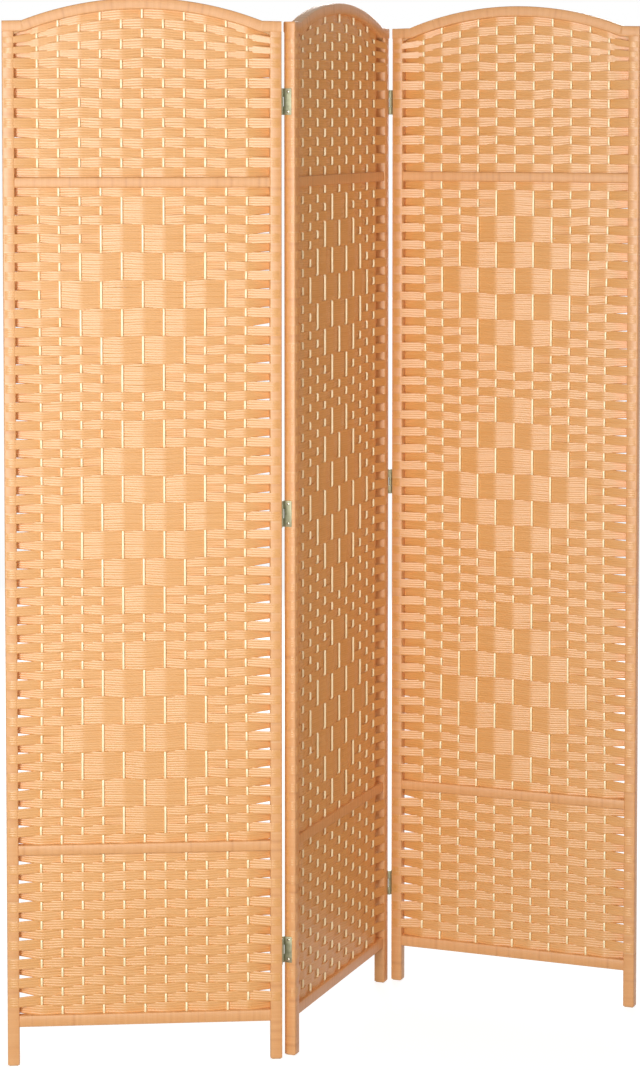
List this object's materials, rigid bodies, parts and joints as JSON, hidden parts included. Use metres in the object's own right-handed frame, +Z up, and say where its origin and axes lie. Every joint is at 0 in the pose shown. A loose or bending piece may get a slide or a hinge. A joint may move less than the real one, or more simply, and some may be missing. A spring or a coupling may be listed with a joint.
{
  "type": "folding screen",
  "caption": "Freestanding folding screen: arched panels of woven paper cord with diamond figures, hinged edge to edge to stand in a zigzag or fold flat.",
  "frame": {"origin": "on the floor, under the centre of the standing screen's bounding box", "axes": "+X to the right along the screen as it is seen from the front, +Y to the back, +Z up"},
  "size_m": [1.1022, 0.502, 1.8],
  "materials": {
    "wood": "bare softwood, hidden by the cord but for the feet's ends",
    "binding": "twisted paper cord, wound in close turns, matt",
    "weave": "twisted paper cord, woven in flat rows, matt",
    "stake": "cream stiff paper cord, matt",
    "hinge": "antique brass plate on steel, satin",
    "pin": "satin",
    "screw": "bright round heads"
  },
  "bodies": {
    "left_panel": {"left_panel_left_post": "wood", "left_panel_right_post": "wood", "left_panel_arch_rail": "wood", "left_panel_upper_rail": "wood", "left_panel_lower_rail": "wood", "left_panel_bottom_rail": "wood", "left_panel_left_post_binding": "binding", "left_panel_right_post_binding": "binding", "left_panel_rail_bindings": "binding", "left_panel_top_stakes": "stake", "left_panel_diamond_stakes": "stake", "left_panel_base_stakes": "stake", "left_panel_top_weave": "weave", "left_panel_diamond_weave": "weave", "left_panel_base_weave": "weave", "left_joint_single_leaves": "hinge", "left_joint_single_screws": "screw"},
    "middle_panel": {"middle_panel_left_post": "wood", "middle_panel_right_post": "wood", "middle_panel_arch_rail": "wood", "middle_panel_upper_rail": "wood", "middle_panel_lower_rail": "wood", "middle_panel_bottom_rail": "wood", "middle_panel_left_post_binding": "binding", "middle_panel_right_post_binding": "binding", "middle_panel_rail_bindings": "binding", "middle_panel_top_stakes": "stake", "middle_panel_diamond_stakes": "stake", "middle_panel_base_stakes": "stake", "middle_panel_top_weave": "weave", "middle_panel_diamond_weave": "weave", "middle_panel_base_weave": "weave", "left_joint_double_leaves": "hinge", "left_joint_double_screws": "screw", "right_joint_double_leaves": "hinge", "right_joint_double_screws": "screw", "left_joint_upper_pin": "pin", "left_joint_middle_pin": "pin", "left_joint_lower_pin": "pin", "right_joint_upper_pin": "pin", "right_joint_middle_pin": "pin", "right_joint_lower_pin": "pin"},
    "right_panel": {"right_panel_left_post": "wood", "right_panel_right_post": "wood", "right_panel_arch_rail": "wood", "right_panel_upper_rail": "wood", "right_panel_lower_rail": "wood", "right_panel_bottom_rail": "wood", "right_panel_left_post_binding": "binding", "right_panel_right_post_binding": "binding", "right_panel_rail_bindings": "binding", "right_panel_top_stakes": "stake", "right_panel_diamond_stakes": "stake", "right_panel_base_stakes": "stake", "right_panel_top_weave": "weave", "right_panel_diamond_weave": "weave", "right_panel_base_weave": "weave", "right_joint_single_leaves": "hinge", "right_joint_single_screws": "screw"}
  },
  "joints": [
    {"name": "left_fold", "type": "hinge", "parent": "middle_panel", "child": "left_panel", "pos_m": [-0.08548, -0.19485, 0.932], "axis": [0, 0, 1], "range_deg": [-115.91, 64.09]},
    {"name": "right_fold", "type": "hinge", "parent": "middle_panel", "child": "right_panel", "pos_m": [0.11082, 0.23223, 0.932], "axis": [0, 0, 1], "range_deg": [-89.6, 90.4]}
  ]
}
